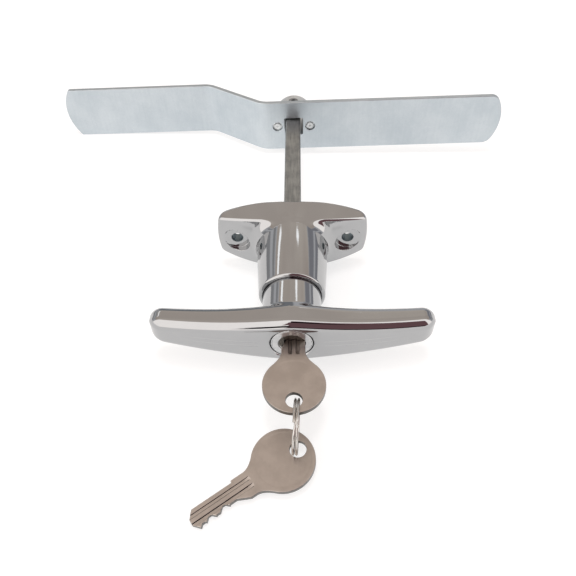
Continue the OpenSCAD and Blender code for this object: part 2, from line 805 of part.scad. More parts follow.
module key_plan() {
    tip = key_neck + blade_len;
    r = bow_d / 2;
    up = fillet_a(neck_high);
    down = fillet_a(neck_low);
    difference() {
        union() {
            circle(r);
            polygon(concat(
                [[0, 0]],
                arc([fillet_x(neck_low), -neck_low - neck_fillet], neck_fillet, 180 - down, 90, 6),
                [[key_neck, -neck_low], [key_neck, neck_high]],
                arc([fillet_x(neck_high), neck_high + neck_fillet], neck_fillet, -90, -180 + up, 6)
            ));
            difference() {
                polygon([
                    [key_neck - overrun, -blade_low], [tip - tip_run, -blade_low], [tip, -tip_flat_low],
                    [tip, tip_flat_high], [tip - tip_run, blade_high], [key_neck - overrun, blade_high]
                ]);
                for (i = [0:wafer_count - 1]) let (e = cut_edge(i))
                    polygon(concat([[e[0][0] + overrun, blade_high + overrun]], e,
                        [[e[3][0] - overrun, blade_high + overrun]]));
            }
        }
        translate([-bow_hole_back, 0]) circle(d = bow_hole_d);
    }
}

module key_shape() {
    difference() {
        plan(key_t) key_plan();
        for (m = [mill_low, mill_top])
            translate([key_neck - mill_runout, m - mill_w / 2, key_t / 2 - mill_depth])
                cube([blade_len + mill_runout + overrun, mill_w, mill_depth + overrun]);
    }
}

module key() {
    color("tan") translate([key_x, bow_y, 0]) rotate([0, 0, 90]) key_shape();
}

module spare_key() {
    color("tan") translate([spare_x, spare_y, spare_z])
        rotate([0, 0, spare_turn]) rotate([0, spare_lean, 0]) key_shape();
}

module key_ring() {
    color("silver") translate([ring_x, ring_y, ring_z]) rotate([0, 0, ring_yaw]) rotate([0, 90, 0])
        rotate_extrude() translate([ring_mid_r, 0]) for (s = [-1, 1])
            translate([0, s * ring_side]) circle(d = ring_wire, $fn = 32);
}

rose();
handle();
stem_washer();
retaining_ring();
shaft();
shaft_pin();
locking_bar();
bar_hub();
hub_screw();
plug();
wafer(0);  // wafer_1
wafer(1);  // wafer_2
wafer(2);  // wafer_3
wafer(3);  // wafer_4
wafer(4);  // wafer_5
wafer_springs();
retainer_wafer();
lock_bolt();
bolt_spring();
key();
key_ring();
spare_key();
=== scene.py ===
import math

import bpy
import numpy as np
from mathutils import Matrix, Vector


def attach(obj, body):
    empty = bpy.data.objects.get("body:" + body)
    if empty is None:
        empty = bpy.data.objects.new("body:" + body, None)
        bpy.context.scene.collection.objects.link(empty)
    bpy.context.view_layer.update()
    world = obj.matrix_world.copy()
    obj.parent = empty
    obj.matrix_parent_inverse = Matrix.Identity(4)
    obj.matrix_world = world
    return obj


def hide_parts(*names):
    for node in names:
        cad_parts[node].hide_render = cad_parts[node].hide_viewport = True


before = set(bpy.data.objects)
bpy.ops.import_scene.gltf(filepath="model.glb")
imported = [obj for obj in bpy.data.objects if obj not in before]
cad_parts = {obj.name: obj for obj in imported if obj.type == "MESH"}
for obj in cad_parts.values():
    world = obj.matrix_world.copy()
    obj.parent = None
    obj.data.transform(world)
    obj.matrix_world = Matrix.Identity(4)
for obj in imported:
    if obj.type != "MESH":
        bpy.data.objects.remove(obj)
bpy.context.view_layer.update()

MM = 0.001
FAR = 999.0


# Node trees: sums are written as Python, every other node comes from Tree.node
class Wire:
    """A node's output that can be added, multiplied and so on, on either side of a number."""

    def __init__(self, tree, socket):
        self.tree = tree
        self.socket = socket

    def maths(self, operation, first, second):
        return self.tree.node("ShaderNodeMath", {"operation": operation}, {0: first, 1: second})

    def __add__(self, other):
        return self.maths("ADD", self, other)

    def __radd__(self, other):
        return self.maths("ADD", other, self)

    def __sub__(self, other):
        return self.maths("SUBTRACT", self, other)

    def __rsub__(self, other):
        return self.maths("SUBTRACT", other, self)

    def __mul__(self, other):
        return self.maths("MULTIPLY", self, other)

    def __rmul__(self, other):
        return self.maths("MULTIPLY", other, self)

    def __pow__(self, other):
        return self.maths("POWER", self, other)

    def __rpow__(self, other):
        return self.maths("POWER", other, self)


class Tree:
    """A node tree and the nodes it is made of."""

    def __init__(self, tree):
        self.tree = tree
        self.tree.nodes.clear()

    def node(self, kind, settings=None, sockets=None, out=0):
        made = self.tree.nodes.new(kind)
        for name, value in (settings or {}).items():
            setattr(made, name, value)
        for name, value in (sockets or {}).items():
            if isinstance(value, Wire):
                self.tree.links.new(value.socket, made.inputs[name])
            else:
                made.inputs[name].default_value = value
        return Wire(self, made.outputs[out]) if made.outputs else None

    def outputs(self, kind, names, sockets=None):
        """Several outputs of one node."""
        made = self.node(kind, None, sockets).socket.node
        return [Wire(self, made.outputs[name]) for name in names]

    def xyz(self, vector):
        """A vector's three parts."""
        return self.outputs("ShaderNodeSeparateXYZ", range(3), {0: vector})

    def unsigned(self, value):
        return self.node("ShaderNodeMath", {"operation": "ABSOLUTE"}, {0: value})

    def ramp(self, value, low, high):
        """0 below low and 1 above high, smooth between."""
        return self.node(
            "ShaderNodeMapRange",
            {"interpolation_type": "SMOOTHSTEP"},
            {"Value": value, "From Min": low, "From Max": high},
        )

    def mix(self, share, first, second):
        """A colour between two colours."""
        return self.node(
            "ShaderNodeMix", {"data_type": "RGBA"}, {0: share, 6: first, 7: second}, out=2
        )

    def noise(self, place, scale, detail, rough):
        return self.node(
            "ShaderNodeTexNoise",
            None,
            {"Vector": place, "Scale": scale, "Detail": detail, "Roughness": rough},
        )


class Finish(Tree):
    """A material of one real finish. Places in it are in millimetres on the piece."""

    def __init__(self, name):
        self.material = bpy.data.materials.new(name)
        self.material.use_nodes = True
        super().__init__(self.material.node_tree)
        self.place = self.node(
            "ShaderNodeMapping",
            None,
            {
                "Vector": self.node("ShaderNodeTexCoord", out=3),
                "Scale": (1000.0, 1000.0, 1000.0),
            },
        )

    def stretched(self, x, y, z):
        """The piece's millimetres, scaled along each axis."""
        return self.node(
            "ShaderNodeVectorMath",
            {"operation": "MULTIPLY"},
            {0: self.place, 1: (x, y, z)},
        )

    def metal(self, colour, rough, height, depth):
        """Bare metal whose height of 1 stands depth millimetres proud."""
        bump = self.node(
            "ShaderNodeBump", None, {"Strength": 1.0, "Distance": depth * MM, "Height": height}
        )
        shader = self.node(
            "ShaderNodeBsdfPrincipled",
            None,
            {"Base Color": colour, "Metallic": 1.0, "Roughness": rough, "Normal": bump},
        )
        self.node("ShaderNodeOutputMaterial", None, {"Surface": shader})
        return self.material


def rgb(red, green, blue):
    return (red, green, blue, 1.0)


# Solid forms as fields: below zero inside, in millimetres, meshed by one vertex a cell
def cut_round(a, b, r):
    """What is inside both a and b, its edge rounded by r."""
    return np.minimum(-r, np.maximum(a, b)) + np.hypot(np.maximum(r + a, 0), np.maximum(r + b, 0))


def join_round(a, b, r):
    """What is inside a or b, with a fillet of r between them."""
    return -cut_round(-a, -b, r)


def box(x, y, z, middle, half):
    return np.maximum(
        np.maximum(abs(x - middle[0]) - half[0], abs(y - middle[1]) - half[1]),
        abs(z - middle[2]) - half[2],
    )


def rod(x, y, z, r, y0, y1):
    """A cylinder on the lock's axis."""
    return np.maximum(np.hypot(x, z) - r, np.maximum(y0 - y, y - y1))


def crossed_cells(value):
    """The cells that the surface crosses, each with a number, and the middle of its crossings."""
    inside = value < 0
    near = [slice(0, -1), slice(1, None)]
    corners = [(i, j, k) for i in (0, 1) for j in (0, 1) for k in (0, 1)]
    count = sum(inside[near[i], near[j], near[k]].astype(np.int8) for i, j, k in corners)
    active = (count > 0) & (count < 8)
    number = np.full(active.shape, -1, np.int64)
    number[active] = np.arange(active.sum())
    cell = np.argwhere(active)
    at = {c: value[tuple((cell + c).T)] for c in corners}
    total = np.zeros((len(cell), 3))
    hits = np.zeros(len(cell))
    for first in corners:
        for axis in range(3):
            if first[axis]:
                continue
            second = tuple(v + (n == axis) for n, v in enumerate(first))
            a, b = at[first], at[second]
            hit = (a < 0) != (b < 0)
            share = np.where(hit, a / np.where(hit, a - b, 1), 0)
            place = np.tile(np.array(first, float), (len(cell), 1))
            place[:, axis] += share
            total += place * hit[:, None]
            hits += hit
    return inside, number, cell + total / hits[:, None]


def quads_of(inside, number):
    """One quad round each grid edge that the surface crosses, facing outwards."""
    found = []
    for axis in range(3):
        b, c = (axis + 1) % 3, (axis + 2) % 3
        low = [slice(None)] * 3
        high = [slice(None)] * 3
        low[axis], high[axis] = slice(0, -1), slice(1, None)
        first, second = inside[tuple(low)], inside[tuple(high)]
        edge = np.argwhere(first != second)
        edge = edge[(edge[:, b] > 0) & (edge[:, c] > 0)]
        edge = edge[(edge[:, b] < number.shape[b]) & (edge[:, c] < number.shape[c])]
        outward = first[tuple(edge.T)]
        ring = []
        for step_b, step_c in ((-1, -1), (0, -1), (0, 0), (-1, 0)):
            cell = edge.copy()
            cell[:, b] += step_b
            cell[:, c] += step_c
            ring.append(number[tuple(cell.T)])
        ring = np.stack(ring, 1)
        ring[~outward] = ring[~outward][:, ::-1]
        found.append(ring)
    return np.concatenate(found)


def slope_of(field, p, step=0.01):
    grad = np.empty_like(p)
    for axis in range(3):
        ahead, behind = p.copy(), p.copy()
        ahead[:, axis] += step
        behind[:, axis] -= step
        grad[:, axis] = (field(*ahead.T) - field(*behind.T)) / (2 * step)
    return grad


def onto(field, p, cell):
    """Moves points onto the surface along the field's slope, by at most half a cell."""
    grad = slope_of(field, p)
    size = np.maximum((grad ** 2).sum(1), 1e-3)
    move = -(field(*p.T) / size)[:, None] * grad
    length = np.linalg.norm(move, axis=1)
    return p + move * np.minimum(1, cell / 2 / np.maximum(length, 1e-9))[:, None]


def evened(p, quads):
    """Each point moved half way to the middle of its neighbours."""
    total, count = np.zeros_like(p), np.zeros(len(p))
    for a in range(4):
        first, second = quads[:, a], quads[:, (a + 1) % 4]
        for one, other in ((first, second), (second, first)):
            count += np.bincount(one, minlength=len(p))
            for axis in range(3):
                total[:, axis] += np.bincount(one, p[other, axis], len(p))
    return 0.5 * p + 0.5 * total / count[:, None]


def skin(field, low, high, cell, passes=3):
    """The vertices, outward normals and quads of a field's surface."""
    axes = [np.arange(low[i], high[i] + cell, cell) for i in range(3)]
    value = np.empty([len(a) for a in axes], np.float32)
    y, z = np.meshgrid(axes[1], axes[2], indexing="ij")
    for n, x in enumerate(axes[0]):
        value[n] = field(np.full_like(y, x), y, z)
    inside, number, cells = crossed_cells(value)
    quads = quads_of(inside, number)
    p = np.array(low) + cell * cells
    for _ in range(passes):
        p = onto(field, evened(p, quads), cell)
    for _ in range(4):
        p = onto(field, p, cell)
    normals = slope_of(field, p)
    return p, normals / np.linalg.norm(normals, axis=1)[:, None], quads


# Wound wire, grown by node trees: coil springs, and a split ring of two turns
class Growth(Tree):
    """A geometry node tree with named inputs that gives one mesh in a material."""

    def __init__(self, name):
        super().__init__(bpy.data.node_groups.new(name, "GeometryNodeTree"))
        self.tree.interface.new_socket(
            "Geometry", in_out="OUTPUT", socket_type="NodeSocketGeometry"
        )

    def takes(self, **kinds):
        for name, kind in kinds.items():
            self.tree.interface.new_socket(name, in_out="INPUT", socket_type=kind)
        return self.outputs("NodeGroupInput", kinds)

    def gives(self, shape, material):
        whole = self.node("GeometryNodeRealizeInstances", None, {"Geometry": shape})
        dressed = self.node(
            "GeometryNodeSetMaterial", None, {"Geometry": whole, "Material": material}
        )
        self.node("NodeGroupOutput", None, {"Geometry": dressed})
        return self.tree


def wire_round(g, curve, wire):
    """Round wire along a curve, closed at both ends."""
    section = g.node(
        "GeometryNodeCurvePrimitiveCircle", None, {"Resolution": 14, "Radius": wire * 0.5}
    )
    return g.node(
        "GeometryNodeCurveToMesh",
        None,
        {"Curve": curve, "Profile Curve": section, "Fill Caps": True},
    )


def spring_tree():
    """Equal coils along z, repeated at a step."""
    g = Growth("coil_springs")
    radius, turns, length, wire, copies, step, material = g.takes(
        Radius="NodeSocketFloat", Turns="NodeSocketFloat", Length="NodeSocketFloat",
        Wire="NodeSocketFloat", Copies="NodeSocketInt", Step="NodeSocketVector",
        Material="NodeSocketMaterial",
    )
    curve = g.node(
        "GeometryNodeCurveSpiral",
        None,
        {"Resolution": 28, "Rotations": turns, "Start Radius": radius, "End Radius": radius,
         "Height": length},
    )
    places = g.node(
        "GeometryNodeMeshLine", {"mode": "OFFSET"}, {"Count": copies, "Offset": step}
    )
    coil = wire_round(g, curve, wire)
    coils = g.node("GeometryNodeInstanceOnPoints", None, {"Points": places, "Instance": coil})
    return g.gives(coils, material)


def split_ring_tree():
    """Two turns side by side: the wire crosses from one to the other near the middle."""
    g = Growth("split_ring")
    radius, wire, side, crossing, material = g.takes(
        Radius="NodeSocketFloat", Wire="NodeSocketFloat", Side="NodeSocketFloat",
        Crossing="NodeSocketFloat", Material="NodeSocketMaterial",
    )
    curve = g.node(
        "GeometryNodeCurveSpiral",
        None,
        {"Resolution": 96, "Rotations": 1.97, "Start Radius": radius, "End Radius": radius,
         "Height": 1.0},
    )
    x, y, z = g.xyz(g.node("GeometryNodeInputPosition"))
    share = g.ramp(z, 0.5 - crossing, 0.5 + crossing)
    place = g.node(
        "ShaderNodeCombineXYZ", None, {"X": x, "Y": y, "Z": (share - 0.5) * side}
    )
    bent_curve = g.node("GeometryNodeSetPosition", None, {"Geometry": curve, "Position": place})
    return g.gives(wire_round(g, bent_curve, wire), material)


def grown(name, tree, values, matrix):
    """The plain mesh that a tree makes from these values, moved to its place."""
    holder = bpy.data.objects.new("holder", bpy.data.meshes.new("holder"))
    bpy.context.scene.collection.objects.link(holder)
    modifier = holder.modifiers.new("growth", "NODES")
    modifier.node_group = tree
    sockets = {s.name: s.identifier for s in tree.interface.items_tree if s.in_out == "INPUT"}
    for key, value in values.items():
        modifier[sockets[key]] = value
    holder.update_tag()
    graph = bpy.context.evaluated_depsgraph_get()
    graph.update()
    mesh = bpy.data.meshes.new_from_object(holder.evaluated_get(graph))
    bpy.data.objects.remove(holder)
    mesh.name = name
    mesh.transform(matrix)
    mesh.shade_smooth()
    return mesh


# Finishes, and the sizes that they share with the forms
SCREW_X = 24.5
SCREW_HOLE_R = 2.45
SCREW_SEAT_T = 5.2
DISH_R = 5.2
ENGRAVED_Z = (1.1, -1.3)


def engraved_lines(f):
    """1 in two fine grooves along the grip's front, on both sides of the plug."""
    x, y, z = f.xyz(f.place)
    side = f.unsigned(x)
    run = f.ramp(side, 11.5, 13.0) * f.ramp(side, 46.0, 30.0) * f.ramp(y, -55.0, -56.0)
    grooves = 0.0
    for height in ENGRAVED_Z:
        grooves = grooves + f.ramp(f.unsigned(z - height), 0.3, 0.0)
    return grooves * run


def screw_holes(f):
    """1 on the walls of the rose's two screw holes, which are made rough and darkened as painted
    shade.
    """
    x, y, z = f.xyz(f.place)
    side = f.unsigned(x) - SCREW_X
    reach = (side * side + z * z) ** 0.5
    in_hole = f.ramp(reach, SCREW_HOLE_R + 0.3, SCREW_HOLE_R + 0.15)
    return in_hole * f.ramp(y, -SCREW_SEAT_T - 0.1, -SCREW_SEAT_T + 0.1)


def chrome():
    """Polished chrome plating: nearly a mirror, with a faint haze and ripple of the casting."""
    f = Finish("bright_chrome")
    haze = f.noise(f.place, 0.11, 4.0, 0.6)
    fine = f.noise(f.place, 1.7, 5.0, 0.65)
    colour = f.mix(haze, rgb(0.405, 0.41, 0.418), rgb(0.44, 0.445, 0.45))
    dull_and_painted_shade = screw_holes(f)
    # painted shade: the screw holes' walls are darkened to grey, and their roughness is raised
    colour = f.mix(dull_and_painted_shade, colour, rgb(0.2, 0.24, 0.26))
    rough = 0.03 + 0.03 * haze + 0.02 * fine + 0.4 * dull_and_painted_shade
    return f.metal(colour, rough, haze * 0.8 + fine * 0.2 - engraved_lines(f) * 4.0, 0.02)


def zinc(name, light, dark, rough_low, rough_high):
    """Zinc, clouded and flecked, with faint upright marks."""
    f = Finish(name)
    cloud = f.noise(f.place, 0.045, 5.0, 0.62)
    fleck = f.noise(f.place, 0.9, 4.0, 0.7)
    marks = f.noise(f.stretched(1.0, 1.0, 0.06), 0.8, 4.0, 0.6)
    share = f.ramp(cloud * 0.6 + fleck * 0.25 + marks * 0.15, 0.3, 0.7)
    colour = f.mix(share, dark, light)
    rough = rough_low + (rough_high - rough_low) * fleck
    return f.metal(colour, rough, fleck * 0.6 + cloud * 0.4, 0.03)


def drawn_steel(name, light, dark, along, rough):
    """Steel with grain along one axis: along scales the pattern on x, y and z."""
    f = Finish(name)
    grain = f.noise(f.stretched(*along), 1.6, 5.0, 0.7)
    stain = f.noise(f.place, 0.16, 3.0, 0.6)
    colour = f.mix(f.ramp(grain * 0.6 + stain * 0.4, 0.34, 0.66), dark, light)
    return f.metal(colour, rough + 0.16 * grain, grain, 0.03)


def key_nickel():
    """Worn nickel silver, with painted shade on its sides and on the walls of its grooves and hole.
    """
    f = Finish("key_nickel_silver")
    edge = f.node("ShaderNodeAttribute", {"attribute_name": "edge"}, out=2)
    rub = f.noise(f.stretched(1.0, 0.12, 1.0), 2.2, 4.0, 0.65)
    wear = f.noise(f.place, 0.16, 5.0, 0.6)
    pits = f.noise(f.place, 2.6, 3.0, 0.6)
    colour = f.mix(f.ramp(wear, 0.3, 0.7), rgb(0.48, 0.43, 0.395), rgb(0.56, 0.505, 0.465))
    # painted shade: where the edge attribute is high, on the key's sides and groove walls, the
    # colour goes near-black
    colour = f.mix(f.ramp(edge, 0.12, 0.8), colour, rgb(0.13, 0.125, 0.115))
    rough = 0.24 + 0.1 * wear + 0.08 * rub
    return f.metal(colour, rough, rub * 0.5 + pits * 0.5, 0.012)


def plug_nickel():
    """Satin nickel, its dish round the keyway darkened with painted shade."""
    f = Finish("satin_plug")
    flat = f.stretched(1.0, 0.0, 1.0)
    reach = f.node("ShaderNodeVectorMath", {"operation": "LENGTH"}, {0: flat}, out=1)
    stain = f.noise(f.place, 0.5, 4.0, 0.6)
    fine = f.noise(f.place, 2.7, 3.0, 0.6)
    colour = f.mix(f.ramp(stain, 0.3, 0.7), rgb(0.52, 0.53, 0.54), rgb(0.62, 0.62, 0.62))
    dish = f.ramp(reach + stain * 0.5, DISH_R + 0.4, DISH_R - 0.2)
    # painted shade: the recessed dish round the keyway is darkened to near-black
    painted_dish_shade = f.mix(f.ramp(fine, 0.35, 0.7), rgb(0.05, 0.045, 0.04), rgb(0.16, 0.14, 0.12))
    colour = f.mix(dish, colour, painted_dish_shade)
    return f.metal(colour, 0.14 + 0.1 * fine + 0.12 * dish, fine, 0.01)


def plain_metal(name, light, dark, rough, scale):
    """A small part's metal, faintly stained: a larger scale makes the stains finer."""
    f = Finish(name)
    stain = f.noise(f.place, scale, 4.0, 0.6)
    fine = f.noise(f.place, scale * 9.0, 3.0, 0.6)
    colour = f.mix(f.ramp(stain, 0.3, 0.7), dark, light)
    return f.metal(colour, rough + 0.1 * fine, fine, 0.01)


FINISHES = {
    "chrome": chrome(),
    "steel_shaft": drawn_steel(
        "drawn_steel", rgb(0.42, 0.43, 0.42), rgb(0.24, 0.25, 0.25), (1.0, 0.05, 1.0), 0.32
    ),
    "zinc_bar": zinc("zinc_plate", rgb(0.63, 0.68, 0.71), rgb(0.50, 0.56, 0.60), 0.34, 0.5),
    "zinc_hub": zinc("zinc_casting", rgb(0.84, 0.86, 0.86), rgb(0.62, 0.65, 0.66), 0.4, 0.6),
    "nickel_plug": plug_nickel(),
    "brass_wafer": plain_metal("brass", rgb(0.78, 0.58, 0.28), rgb(0.66, 0.46, 0.2), 0.28, 0.5),
    "spring_steel": plain_metal(
        "spring_steel", rgb(0.36, 0.37, 0.38), rgb(0.24, 0.25, 0.27), 0.3, 0.4
    ),
    "bolt_steel": plain_metal("bolt_steel", rgb(0.5, 0.5, 0.48), rgb(0.38, 0.38, 0.38), 0.34, 0.3),
    "key_nickel": key_nickel(),
    "ring_steel": plain_metal("ring_steel", rgb(0.62, 0.6, 0.57), rgb(0.48, 0.46, 0.44), 0.16, 0.5),
}


def dress(obj, slot):
    obj.data.materials.clear()
    obj.data.materials.append(FINISHES[slot])


# Every CAD node in the finish of its slot
NODE_SLOTS = {
    "rose": "chrome", "handle": "chrome", "stem_washer": "spring_steel",
    "retaining_ring": "spring_steel", "shaft": "steel_shaft", "shaft_pin": "bolt_steel",
    "locking_bar": "zinc_bar", "bar_hub": "zinc_hub", "hub_screw": "spring_steel",
    "plug": "nickel_plug", "wafer_1": "brass_wafer", "wafer_2": "brass_wafer",
    "wafer_3": "brass_wafer", "wafer_4": "brass_wafer", "wafer_5": "brass_wafer",
    "wafer_springs": "spring_steel", "retainer_wafer": "brass_wafer", "lock_bolt": "bolt_steel",
    "bolt_spring": "spring_steel", "key": "key_nickel", "key_ring": "ring_steel",
    "spare_key": "key_nickel",
}
for node_name, slot_name in NODE_SLOTS.items():
    dress(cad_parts[node_name], slot_name)


# Rose: two wings and a collar, cast in one
ROSE_W = 66.4
ROSE_H = 32.9
ROSE_END_DROP = 5.5
ROSE_END_R = 50.0
ROSE_MIDDLE_T = 10.6
ROSE_FACE_R = 72.0
ROSE_INSET = 2.7
ROSE_BULGE = 1.3
COLLAR_LEN = 40.5
COLLAR_ROOT_R = 15.2
COLLAR_RIM_R = 13.4
SCREW_RECESS_R = 5.8
WALL_POWER = 2.56
CORNER_ROUND = 1.2
CORNER_ROUND_BACK = 3.5
BULGE_HALF = 12
FACE_FILLET = 4.2
EDGE_ROUND = 0.7
COLLAR_ROOT = 8.35
COLLAR_POWER = 1.8
COLLAR_RIM_ROUND = 1.2
STEM_R = 11.75
STEM_PLAY = 0.08
STACK_R = 14.15
STACK_Y = -3.3
BOLT_Y = -20.0
BOLT_ROOM = 3.6
KEEPER_W = 4.3
KEEPER_R = 13.55


def rose_walls(side, tall, depth):
    """The upper and lower walls: they curve down to the ends and lean in towards the face."""
    share = side / (ROSE_W / 2)
    half = ROSE_H / 2 - ROSE_END_DROP * share ** WALL_POWER
    slope = WALL_POWER * ROSE_END_DROP / (ROSE_W / 2) * share ** (WALL_POWER - 1)
    lean = (ROSE_INSET - 0.9 * share ** 4) / (ROSE_MIDDLE_T - side ** 2 / (2 * ROSE_FACE_R))
    lean -= 0.15 * np.exp(-(side / 8) ** 2)
    return (tall - half + lean * depth) / np.sqrt(1 + slope ** 2 + lean ** 2)


def rose_form(x, y, z):
    """Wings and collar, bored for the stem, with keeper slots inside and two screw recesses."""
    side, tall, depth = abs(x), abs(z), -y
    walls = rose_walls(side, tall, depth)
    ends = np.hypot(side + ROSE_END_R - ROSE_W / 2, z) - ROSE_END_R
    corner = np.clip(CORNER_ROUND_BACK - depth, CORNER_ROUND, CORNER_ROUND_BACK)
    outline = cut_round(walls, ends, corner)
    swell = np.clip((depth - COLLAR_ROOT) / (COLLAR_LEN - COLLAR_ROOT), 0, 1.2) ** COLLAR_POWER
    collar = np.hypot(x, z) - COLLAR_ROOT_R + (COLLAR_ROOT_R - COLLAR_RIM_R) * swell
    collar = cut_round(collar, depth - COLLAR_LEN, COLLAR_RIM_ROUND)
    bulge = ROSE_BULGE * (1 - (z / BULGE_HALF) ** 2)
    face = np.hypot(x, depth - bulge + ROSE_FACE_R - ROSE_MIDDLE_T) - ROSE_FACE_R
    wings = cut_round(outline, join_round(face, collar, FACE_FILLET), EDGE_ROUND)
    back_round = 0.5 + 1.4 * np.clip((side - 13) / 17, 0, 1)
    joined = join_round(cut_round(outline, face, EDGE_ROUND), collar, 0.8)
    solid = cut_round(np.minimum(wings, joined), y, back_round)
    recess = rod(side - SCREW_X, y, z, SCREW_RECESS_R, -COLLAR_LEN, -SCREW_SEAT_T)
    hole = rod(side - SCREW_X, y, z, SCREW_HOLE_R, -COLLAR_LEN, 1)
    solid = cut_round(solid, -recess, 0.25)
    solid = np.maximum(solid, -hole)
    solid = cut_round(solid, -rod(x, y, z, STEM_R + STEM_PLAY, -FAR, 1), 0.5)
    solid = np.maximum(solid, -rod(x, y, z, STACK_R, STACK_Y, 1))
    keeper = np.maximum(np.minimum(side, tall) - KEEPER_W, np.maximum(side, tall) - KEEPER_R)
    return np.maximum(solid, -np.maximum(keeper, abs(y - BOLT_Y) - BOLT_ROOM))


# Handle: a tapered, swept-back grip and a round stem, cast in one
GRIP_W = 110.8
GRIP_REACH = 64.0
GRIP_T = 11.4
GRIP_H = 23.6
GRIP_END_H = 12.6
GRIP_HOLLOW = 1.8
GRIP_CROWN = 1.0
GRIP_SWEEP = 5.7
GRIP_BACK_SWEEP = 4.1
GRIP_ROUND = 4.0
GRIP_LOWER_ROUND = 3.4
GRIP_END_ROUND = 5.6
CROWN_HALF = 14.7
STEM_FILLET = 1.2
PLUG_Y = -63.6
PLUG_HEAD_T = 2.0
PLAY = 0.05
PLUG_END_Y = -37.4
PIN_Y = -7.4
SHAFT_SIDE = 7.94
CHANNEL_FLOOR = 8.4
PLUG_HEAD_BORE_R = 8.3
PLUG_BORE_R = 7.58
TAIL_BORE_R = 3.9
SHAFT_ROOM = 4.05
SHAFT_POCKET_END = 13.45
CHANNEL_HALF_W = 5.5
PIN_BORE_R = 1.55
RING_GROOVE_R = 10.75
RING_GROOVE_Y = (-2.05, -0.9)


def grip_half(x):
    """Half the grip's height at its front edges: a soft peak, then a slightly hollow taper."""
    share = (np.hypot(x, 3) - 3) / (math.hypot(GRIP_W / 2, 3) - 3)
    fall = (GRIP_H - GRIP_END_H) / 2 + GRIP_HOLLOW
    return GRIP_H / 2 - fall * share + GRIP_HOLLOW * (2 * x / GRIP_W) ** 2


def handle_form(x, y, z):
    """Grip and stem, bored for the plug, its tail, the lock bolt, the shaft and the pin."""
    tall = abs(z)
    share = (x / (GRIP_W / 2)) ** 2
    front = y + GRIP_REACH - GRIP_SWEEP * share
    back = y + GRIP_REACH - GRIP_T - GRIP_BACK_SWEEP * share
    rise = np.clip((front - 2.5) / (GRIP_T - 5), 0, 1)
    crown = GRIP_CROWN * np.exp(-(x / CROWN_HALF) ** 2) * rise * rise * (3 - 2 * rise)
    top = tall - grip_half(x) - crown
    grip = cut_round(-front, top, np.where(z > 0, GRIP_ROUND, GRIP_LOWER_ROUND))
    grip = cut_round(grip, back, GRIP_ROUND)
    grip = cut_round(grip, abs(x) - GRIP_W / 2, GRIP_END_ROUND)
    stem = rod(x, y, z, STEM_R, GRIP_T - GRIP_REACH - 2, -0.4)
    solid = join_round(grip, stem, STEM_FILLET)
    mouth = rod(x, y, z, PLUG_HEAD_BORE_R, -FAR, PLUG_Y + PLUG_HEAD_T + PLAY)
    mouth = join_round(mouth, np.hypot(x, z) - PLUG_HEAD_BORE_R - 0.5 + front, 0.2)
    solid = np.maximum(solid, -mouth)
    solid = np.maximum(solid, -rod(x, y, z, PLUG_BORE_R, -FAR, PLUG_END_Y + PLAY))
    solid = np.maximum(solid, -rod(x, y, z, TAIL_BORE_R, -40, BOLT_Y))
    channel_middle = (0, BOLT_Y, 10 - CHANNEL_FLOOR / 2)
    channel_half = (CHANNEL_HALF_W, BOLT_ROOM, 10 + CHANNEL_FLOOR / 2)
    solid = np.maximum(solid, -box(x, y, z, channel_middle, channel_half))
    pocket = box(x, y, z, (0, 0, 0), (SHAFT_ROOM, SHAFT_POCKET_END, SHAFT_ROOM))
    solid = np.maximum(solid, -pocket)
    pin = np.maximum(np.hypot(y - PIN_Y, z) - PIN_BORE_R, abs(x) - 12)
    solid = np.maximum(solid, -pin)
    groove = np.maximum(RING_GROOVE_Y[0] - y, y - RING_GROOVE_Y[1])
    groove = np.maximum(groove, RING_GROOVE_R - np.hypot(x, z))
    return np.maximum(solid, -groove)


# Plug: a dished face with the keyway, slots for the wafers, and a tail with the cam
PLUG_HEAD_R = 8.0
PLUG_R = 7.5
KEY_X = 0.9
BLADE_HIGH = 3.7
KEY_T = 2.0
SHOULDER_Y = PLUG_Y + 0.8
FIRST_WAFER = 3.25
WAFER_STEP = 2.7
WAFER_YS = [SHOULDER_Y + FIRST_WAFER + WAFER_STEP * i for i in range(5)]
KEY_MILLS = (-1.3, 1.5)
MILL_R = 0.6
BLADE_HALF = 3.55
BLADE_MIDDLE = 0.15
KEYWAY_LEN = 17.9
TAIL_R = 3.2
SLOT_HALF = 0.65
DISH_SPHERE_R = 30.2
DISH_SPHERE_Y = -29.0
RETAINER_Y = PLUG_END_Y - 2.4
CAM_REACH = 3.4
CAM_HALF_T = 3.3
CAM_CLOSING_SIDE = (265.2, 1.449)
BOLT_TRAVEL = 1.8


def keyway(x, z, room):
    """The slot that the blade fills, with a ward in each of its milled grooves."""
    width = abs(x - KEY_X + BLADE_MIDDLE) - BLADE_HALF
    slot = np.maximum(abs(z) - KEY_T / 2 - room, width - room)
    for mill in KEY_MILLS:
        ward = np.maximum(abs(x - KEY_X + mill) - MILL_R + room, 0.55 + room - z)
        slot = np.maximum(slot, -ward)
    return slot


def cam_outline(x, z):
    """A flat edge that rests on it rises 1.8 mm in a quarter turn; low on the other sides."""
    sides = [(a, CAM_REACH - BOLT_TRAVEL * a / 90) for a in range(0, 90, 6)]
    sides += [(a, CAM_REACH - BOLT_TRAVEL) for a in range(90, 251, 10)]
    sides.append(CAM_CLOSING_SIDE)
    outline = np.full_like(x, -FAR)
    for angle, reach in sides:
        a = math.radians(angle)
        outline = np.maximum(outline, x * math.sin(a) - z * math.cos(a) - reach)
    return outline


